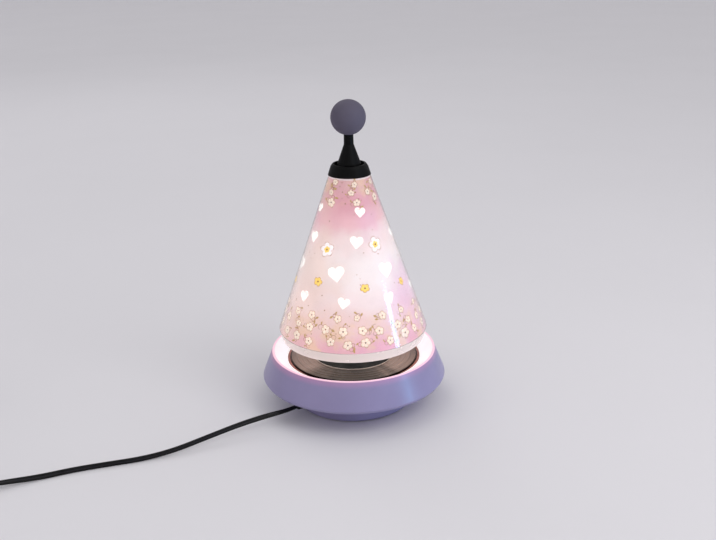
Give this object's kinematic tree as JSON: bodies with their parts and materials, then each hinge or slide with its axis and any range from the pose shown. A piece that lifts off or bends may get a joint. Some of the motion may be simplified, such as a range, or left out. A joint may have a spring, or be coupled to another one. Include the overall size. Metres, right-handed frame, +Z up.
{
  "type": "table lamp",
  "caption": "Child's lantern table lamp: a printed cone turns on a needle point over a capsule lamp in a dished base, with an in-line rocker switch and plug-in transformer on its cord.",
  "frame": {"origin": "on the table, under the middle of the round base", "axes": "+Z up along the shade's turning axis, -Y towards the viewer, the cord leaves towards -X and -Y"},
  "size_m": [0.6008, 0.3058, 0.3295],
  "materials": {
    "lilac_plastic": "pale lilac moulded plastic, satin",
    "black_plastic": "black moulded plastic, satin",
    "ball_plastic": "dark grey violet, rubbery matt",
    "clear_plastic": "clear, polished",
    "printed_film": "pink translucent print with clear hearts",
    "dish_metal": "spun, fine rings",
    "zinc_steel": "zinc plated",
    "spring_steel": "drawn wire, bright",
    "brass": "turned",
    "ceramic": "unglazed white",
    "bulb_glass": "clear quartz",
    "tungsten": "glowing",
    "wire_insulation": "silicone sleeve",
    "core_insulation": "PVC",
    "cord_rubber": "black flat twin cord, satin",
    "foot_rubber": "grey, matt",
    "terminal_plastic": "off-white",
    "core_iron": "laminated",
    "winding_copper": "enamelled copper wire under tape"
  },
  "bodies": {
    "base": {"top_shell": "lilac_plastic", "bottom_shell": "lilac_plastic", "housing_screws": "zinc_steel", "rubber_feet": "foot_rubber", "reflector_dish": "dish_metal", "lamp_platform": "black_plastic", "platform_screws": "zinc_steel", "threaded_rod": "zinc_steel", "rod_nuts": "zinc_steel", "stem_sleeve": "zinc_steel", "socket_bracket": "zinc_steel", "lamp_socket": "ceramic", "socket_contacts": "brass", "socket_screws": "zinc_steel", "bulb_glass": "bulb_glass", "bulb_pins": "zinc_steel", "bulb_filament": "tungsten", "bail_wire": "spring_steel", "bail_clips": "spring_steel", "needle_ferrule": "brass", "needle_rod": "spring_steel", "cord_bush": "black_plastic", "inner_cord": "cord_rubber", "cord_clamp": "terminal_plastic", "clamp_screws": "zinc_steel", "terminal_block": "terminal_plastic", "terminal_screws": "zinc_steel", "terminal_mount_screw": "zinc_steel", "cord_cores": "core_insulation", "lamp_leads": "wire_insulation", "switch_base": "black_plastic", "switch_cover": "black_plastic", "rocker_pin": "spring_steel", "switch_contacts": "brass", "switch_screws": "zinc_steel", "switch_cords": "cord_rubber", "transformer_case": "black_plastic", "transformer_cover": "black_plastic", "plug_pins": "brass", "transformer_screws": "zinc_steel", "transformer_core": "core_iron", "transformer_winding": "winding_copper", "transformer_bush": "black_plastic", "transformer_lead": "cord_rubber", "cord_run": "cord_rubber", "cord_link": "cord_rubber", "cord_tail": "cord_rubber", "cord_coil": "cord_rubber"},
    "pivot": {"bearing_cup": "brass"},
    "shade": {"turbine_wheel": "black_plastic", "top_collar": "black_plastic", "tower": "black_plastic", "ball_knob": "ball_plastic", "shade_cone": "clear_plastic", "printed_film": "printed_film", "shade_ring": "clear_plastic"},
    "rocker": {"switch_rocker": "black_plastic"}
  },
  "joints": [
    {"name": "shade_spin", "type": "hinge", "parent": "base", "child": "pivot", "pos_m": [0, 0, 0.276], "axis": [0, 0, 1], "continuous": true},
    {"name": "shade_lift", "type": "slide", "parent": "pivot", "child": "shade", "axis": [0, 0, 1], "range_m": [0, 0.21]},
    {"name": "switch_rocker_tilt", "type": "hinge", "parent": "base", "child": "rocker", "pos_m": [-0.383, -0.187, 0.0105], "axis": [0.2588, -0.9659, 0], "range_deg": [-16, 0]}
  ]
}
